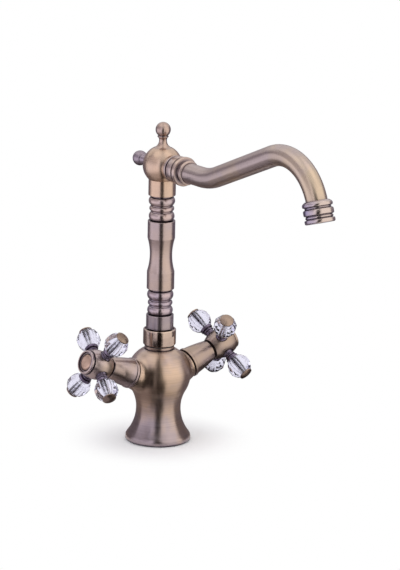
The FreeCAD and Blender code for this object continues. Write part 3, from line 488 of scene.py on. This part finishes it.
# %% Give each node its finish
by_slot = {
    "antique_brass": machined,
    "plain_brass": machined,
    "crystal": crystal,
    "rubber": rubber,
    "plastic": acetal,
    "ceramic": alumina,
    "steel": steel,
}
subparts = frame["record"]["subparts"]
for entry in subparts:
    name = entry["node"]
    mesh = nodes[name].data
    mesh.materials.clear()
    mesh.materials.append(tones.get(name) or by_slot[entry["material_slot"]])
print("finishes given to", len(subparts), "nodes")

# %% [markdown]
# Some pieces are modelled anew with more detail. All of them are turned or cut round an axis, so one
# helper spins a closed outline once round. The spin ends where it began, so the seam is merged, and
# then the normals can be turned outwards. A second helper makes an object of the finished shape.

# %% Spin an outline
MERGE = 1e-6


def spun(outline, centre, axis, steps):
    """A closed outline turned once round an axis, with its seam merged and its faces outwards."""
    shape = bmesh.new()
    points = [shape.verts.new(point) for point in outline]
    loop = [shape.edges.new(pair) for pair in zip(points, points[1:] + points[:1])]
    bmesh.ops.spin(shape, geom=points + loop, cent=centre, axis=axis, angle=2 * math.pi,
                   steps=steps, use_merge=True, use_duplicate=False)
    bmesh.ops.remove_doubles(shape, verts=shape.verts, dist=MERGE)
    bmesh.ops.recalc_face_normals(shape, faces=shape.faces)
    return shape


def new_object(name, shape, *materials):
    """An object at the origin from a finished bmesh."""
    mesh = bpy.data.meshes.new(name)
    shape.to_mesh(mesh)
    shape.free()
    for material in materials:
        mesh.materials.append(material)
    made = bpy.data.objects.new(name, mesh)
    scene.collection.objects.link(made)
    return made


print("points nearer than", MERGE, "m are merged")

# %% [markdown]
# A bead is cut as ten sides in five bands, with a bore for the arm's stem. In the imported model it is
# one plain solid. Here the half outline, bore included, is spun in ten steps, so the facets come out
# flat and the bore's wall can have its own ground surface. The cutter's wheel leaves a hair-thin
# bevel on every edge, which catches the light.

# %% The shape of a bead
SIDES = 10
STEM_BORE = 2.36       # mm, clear of the arm's stem
BORE_MARGIN = 1.02     # a face within this many bore radii of the axis is the bore's wall
EDGE_WEAR = 0.12       # mm
FLAT = 0.05            # radians between faces that need no bevel
WALL = STEM_BORE / math.cos(math.pi / SIDES)
BEAD = [               # mm from the bead's axis, and along it
    (WALL, -8.7), (6.2, -8.7), (8.5, -6.5), (10.45, -2.5),
    (10.45, 2.5), (8.5, 6.5), (6.2, 8.7), (WALL, 8.7),
]


def bead_shape():
    """One bead at the origin with its axis upright; material 1 is the wall of its bore."""
    outline = [(radius * MM, 0, height * MM) for radius, height in BEAD]
    shape = spun(outline, (0, 0, 0), (0, 0, 1), SIDES)
    for face in shape.faces:
        off_axis = face.calc_center_median().xy.length
        face.material_index = 1 if off_axis < STEM_BORE * BORE_MARGIN * MM else 0
    cut_edges = [edge for edge in shape.edges if edge.calc_face_angle() > FLAT
                 and all(face.material_index == 0 for face in edge.link_faces)]
    bmesh.ops.bevel(shape, geom=cut_edges, offset=EDGE_WEAR * MM, offset_type="OFFSET",
                    affect="EDGES", segments=1, profile=0.5, material=-1)
    return shape


print("a bead of", SIDES, "sides and", 2 * BEAD[3][0], "mm across its corners")

# %% [markdown]
# Each handle carries four beads. A bead stands where its node does, and its axis points away from
# the middle of the hub. It is turned so that one corner faces along the valve's axis, and it rides
# on its handle, which turns with the valve.

# %% Cut the crystal beads


def crystal_bead(name, node, side):
    """A bead in the place of this node."""
    low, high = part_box(node)
    centre = (low + high) / 2
    outward = (centre - hubs[side]).normalized()
    ahead = valve_axes[side]
    place = laid_along(ahead, outward.cross(ahead), outward, centre)
    shape = bead_shape()
    bmesh.ops.transform(shape, matrix=place, verts=shape.verts)
    made = new_object(name, shape, crystal, ground)
    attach(made, side + "_handle")
    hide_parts(node)
    return made


beads = [crystal_bead(f"{side}_bead_{number}", f"{side}_crystal_{number}", side)
         for side in valve_axes for number in BEADS]
print(len(beads), "beads of", len(beads[0].data.polygons), "faces")

# %% [markdown]
# The union nut that holds the spout and the housing round the aerator are both turned on a lathe:
# rings with grooves between them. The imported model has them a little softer. Each half outline gives
# the distance from the axis and the place along it, both in millimetres. The insides stay clear of
# the pipe, its flange and the aerator.

# %% Outlines of the union nut and the outlet's rings
NUT = [
    (10.9, 17.0), (11.7, 17.5), (12.0, 18.4), (11.7, 19.3), (10.3, 19.7), (10.3, 21.4),
    (12.2, 21.8), (12.35, 28.6), (10.4, 29.0), (10.4, 30.1), (12.8, 30.5), (13.0, 31.4),
    (13.0, 33.2), (12.5, 34.0), (9.6, 34.3), (9.6, 37.9), (10.6, 38.2), (10.9, 38.9),
    (10.6, 39.7), (9.3, 40.5), (9.0, 40.5), (9.0, 30.2), (9.85, 30.2), (9.85, 17.0),
]
RINGS = [
    (9.5, -2.9), (10.2, -2.9), (12.0, -1.7), (12.5, -1.1), (12.85, -0.5), (12.95, 0.2),
    (12.9, 1.2), (12.5, 1.8), (11.2, 2.2), (11.2, 3.5), (12.3, 4.0), (12.8, 4.5), (12.95, 5.5),
    (12.95, 7.4), (12.8, 8.5), (12.3, 8.9), (11.2, 9.3), (11.2, 9.8), (11.8, 10.1), (11.8, 11.3),
    (11.2, 11.6), (11.2, 12.0), (12.4, 12.3), (12.9, 12.7), (12.95, 13.6), (12.9, 15.0),
    (12.5, 15.6), (11.9, 15.9), (10.1, 15.9), (10.1, 3.05), (9.3, 3.05),
]
print("outlines of", len(NUT), "and", len(RINGS), "points")

# %% [markdown]
# Each outline is spun round its own axis: the nut's runs level from the ball head, and the outlet's
# falls steeply from the end of the pipe. The rings' sharp edges get a small round, because the brush
# wears sharp edges first. Shading is smooth, apart from the edges that are still sharper than a
# limit.

# %% Turn the union nut and the outlet's rings
LATHE_STEPS = 96
RING_ROUND = 0.12      # mm
SHARP_EDGE = 0.6       # radians between faces whose edge gets a round
SHADING_LIMIT = math.radians(33)
OUTLET = Vector((0, -0.2189, 0.25832))
FALL = math.radians(72)


def turned_piece(name, node, outline, start, axis):
    """A ringed piece on an axis that leads from this start, in the place of a spout's node."""
    across = Vector((1, 0, 0))
    points = [start + across * radius * MM + axis * along * MM for radius, along in outline]
    shape = spun(points, start, axis, LATHE_STEPS)
    sharp = [edge for edge in shape.edges if edge.calc_face_angle() > SHARP_EDGE]
    bmesh.ops.bevel(shape, geom=sharp, offset=RING_ROUND * MM, offset_type="OFFSET",
                    affect="EDGES", segments=2, profile=0.5, material=-1)
    for face in shape.faces:
        face.smooth = True
    made = new_object(name, shape, tones[node])
    made.data.set_sharp_from_angle(angle=SHADING_LIMIT)
    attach(made, "spout")
    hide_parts(node)
    return made


nut = turned_piece("union_nut", "spout_collar", NUT, Vector((0, 0, HEAD)), Vector((0, -1, 0)))
rings = turned_piece("outlet_rings", "aerator_housing", RINGS, OUTLET,
                     Vector((0, -math.cos(FALL), -math.sin(FALL))))
print("union nut of", len(nut.data.polygons), "faces, outlet rings of", len(rings.data.polygons))

# %% [markdown]
# The set is a pale floor in a white room. The room is the world's background: white at a strength of
# 1, so it shows as white, and lights the tap evenly from all sides at a plain level.

# %% White room
WHITE = (1, 1, 1, 1)
world = bpy.data.worlds.new("white_room")
scene.world = world
world.use_nodes = True
room = world.node_tree
room.nodes.clear()
sky = add(room, "ShaderNodeBackground", None, {"Color": WHITE, "Strength": 1.0})
add(room, "ShaderNodeOutputWorld", inputs={"Surface": sky.outputs[0]})
print("room of strength", sky.inputs["Strength"].default_value)

# %% [markdown]
# Near the tap the floor is ordinary pale paint, so it keeps the soft shadow. Further out it turns
# into the white of the room for the camera, and for every mirror-like or clear surface. The Light
# Path node knows these rays, and other light still bounces from the paint.

# %% Floor
FLOOR_NEAR = 0.038
FLOOR_FAR = 0.09
FLOOR_RADIUS = 0.36
FLOOR_SIDES = 96


def staged(name, shape, material):
    """An object of the set from a finished bmesh."""
    made = new_object(name, shape, material)
    return made


paint, tree, shader = new_material("white_floor_paint")
fill(tree, shader, {"Base Color": linear("#F6F6F8"), "Roughness": 0.9})
place = add(tree, "ShaderNodeTexCoord")
reach = add(tree, "ShaderNodeVectorMath", {"operation": "LENGTH"}, {0: place.outputs["Object"]})
fade = add(tree, "ShaderNodeMapRange", {"interpolation_type": "SMOOTHSTEP"},
           {"Value": reach.outputs["Value"], "From Min": FLOOR_NEAR, "From Max": FLOOR_FAR})
path = add(tree, "ShaderNodeLightPath")
seen = path.outputs["Is Camera Ray"]
for other in ("Is Glossy Ray", "Is Transmission Ray"):
    seen = add(tree, "ShaderNodeMath", {"operation": "MAXIMUM"},
               {0: seen, 1: path.outputs[other]}).outputs[0]
share = add(tree, "ShaderNodeMath", {"operation": "MULTIPLY"}, {0: seen, 1: fade.outputs[0]})
glow = add(tree, "ShaderNodeEmission", None, {"Color": WHITE, "Strength": 1.0})
both = add(tree, "ShaderNodeMixShader", None,
           {0: share.outputs[0], 1: shader.outputs[0], 2: glow.outputs[0]})
fill(tree, tree.nodes["Material Output"], {"Surface": both.outputs[0]})
disc = bmesh.new()
bmesh.ops.create_circle(disc, cap_ends=True, segments=FLOOR_SIDES, radius=FLOOR_RADIUS)
staged("floor", disc, paint)
print("floor paint turns to white between", FLOOR_NEAR, "and", FLOOR_FAR, "m")

# %% [markdown]
# Two tall soft boxes and two small ones overhead add a little to the white of the room, cool on the
# left and warm on the right, and make the soft shadow. A large lamp needs more power than a small
# one for the same brightness, so its power is worked out from the brightness of its face.

# %% Soft boxes
FACE_POWER = 4         # W per square metre for a face as bright as the room
soft_boxes = [         # azimuth from the camera's side, elevation, distance, size, brightness
    ("left_soft_box", -60, 4, 1.25, (2.1, 2.3), 0.32, "#F2F0FF"),
    ("right_soft_box", 55, 4, 1.25, (2.0, 2.3), 0.30, "#FFF9F0"),
    ("left_top_box", -75, 66, 1.5, (0.9, 0.9), 0.30, "#FFFAF4"),
    ("right_top_box", 75, 66, 1.5, (0.9, 0.9), 0.40, "#FFF4E8"),
]
for name, azimuth, elevation, distance, (width, height), brightness, colour in soft_boxes:
    away = direction(AZIMUTH + math.radians(azimuth), math.radians(elevation))
    data = bpy.data.lights.new(name, "AREA")
    data.shape = "RECTANGLE"
    data.size = width
    data.size_y = height
    data.energy = brightness * FACE_POWER * width * height
    data.color = linear(colour)[:3]
    lamp = bpy.data.objects.new(name, data)
    facing = away.to_track_quat("Z", "Y").to_matrix().to_4x4()
    lamp.matrix_world = Matrix.Translation(MIDDLE + away * distance) @ facing
    lamp.visible_camera = False
    scene.collection.objects.link(lamp)
print(len(soft_boxes), "soft boxes")

# %% [markdown]
# What a metal shows is mostly what it mirrors, so the set has cloths and cards as well, and only
# mirror-like surfaces see them. Each of them is one edge, spun part of the way round the tap, and
# glows with the grey that a lit cloth would have, so that no lamp changes it.

# %% A cloth that only mirrors see
CLOTH_STEPS = 24


def cloth(name, seen, azimuth_from, azimuth_to, low, high):
    """A cloth round the tap in this grey; low and high are the radius and height of its hems."""
    material, tree, shader = new_material(name)
    fill(tree, shader, {
        "Base Color": (0, 0, 0, 1),
        "Specular IOR Level": 0.0,
        "Emission Color": linear(seen),
        "Emission Strength": 1.0,
    })
    shape = bmesh.new()
    start = direction(AZIMUTH + math.radians(azimuth_from), 0)
    hems = [shape.verts.new((start.x * radius, start.y * radius, height))
            for radius, height in (low, high)]
    edge = shape.edges.new(hems)
    bmesh.ops.spin(shape, geom=hems + [edge], cent=(0, 0, 0), axis=(0, 0, 1), steps=CLOTH_STEPS,
                   angle=math.radians(azimuth_to - azimuth_from), use_duplicate=False)
    made = staged(name, shape, material)
    made.visible_camera = False
    made.visible_diffuse = False
    made.visible_transmission = False
    made.visible_shadow = False


print("cloths are swept in", CLOTH_STEPS, "steps")

# %% [markdown]
# A brushed cylinder mirrors the dark front cloth as the stripe down its middle, the pale cards as
# its bright flanks and the grey back cloth as its dull edges. Runners on the floor do the same for
# faces that look down. The dark ones close round the foot are painted shade: the floor in the tap's
# own shadow, as a mirror sees it. Small flags near the tap carry the stripe over the bulb and the
# turned beads, and the dull edges over the flare of the foot. The flag beside the bulb is a painted
# reflection of the shaded side of the left boss.

# %% Cloths, cards, runners and flags
BLACK = "#1C1615"
cloths = [             # azimuths in degrees from the camera's side, hems in metres
    ("front_cloth", BLACK, -14, 14, (2.2, -0.75), (2.2, 1.6)),
    ("front_low_cloth", BLACK, -16, 3, (2.2, -2.4), (2.2, -0.75)),
    ("front_flag", BLACK, -14, 10, (0.1, 0.06), (0.1, 0.22)),
    # painted reflection: the shaded side of the left boss, as the bulb mirrors it
    ("boss_shade_reflection", BLACK, -38, -12, (0.046, 0.037), (0.046, 0.087)),
    ("column_flag", BLACK, -11, 9, (0.04, 0.105), (0.04, 0.245)),
    ("foot_flag", "#7A7276", 74, 280, (0.055, 0.004), (0.055, 0.048)),
    ("front_runner", BLACK, -13, 24, (0.035, 0.002), (0.42, 0.002)),
    # painted shade: the floor in the tap's own shadow round the foot, as mirrors see it
    ("near_floor_shade", BLACK, -36, 22, (0.035, 0.003), (0.07, 0.003)),
    ("left_foot_floor_shade", "#7C7276", -150, -36, (0.033, 0.003), (0.06, 0.003)),
    ("right_foot_runner", "#BEB6AE", 22, 110, (0.033, 0.003), (0.06, 0.003)),
    ("left_runner", "#BCB5B9", -100, -13, (0.06, 0.001), (0.42, 0.001)),
    ("right_runner", "#F4F0EC", 24, 96, (0.06, 0.001), (0.42, 0.001)),
    # painted shade: the floor in the tap's shadow behind it, as mirrors see it
    ("back_floor_shade", "#3A3436", 96, 260, (0.06, 0.001), (0.17, 0.001)),
    ("back_far_runner", "#6E6668", 96, 260, (0.17, 0.001), (0.42, 0.001)),
    ("back_cloth", "#7C7685", 101, 247, (2.0, -2.4), (2.0, 0.1)),
    ("back_high_cloth", "#9C95A0", 101, 247, (2.0, 0.1), (2.0, 0.9)),
    ("left_band", "#938D90", -113, -34, (2.05, 0.55), (2.05, 2.25)),
    ("left_card", "#F4F2FA", -113, -14, (2.1, -2.4), (2.1, 2.6)),
    ("right_card", "#FFFCF7", 14, 101, (2.1, -2.4), (2.1, 2.6)),
]
for entry in cloths:
    cloth(*entry)
print(len(cloths), "cloths, cards, runners and flags")

# %% [markdown]
# A plain view transform shows each colour as it was written.

# %% Finish
scene.view_settings.view_transform = "Standard"
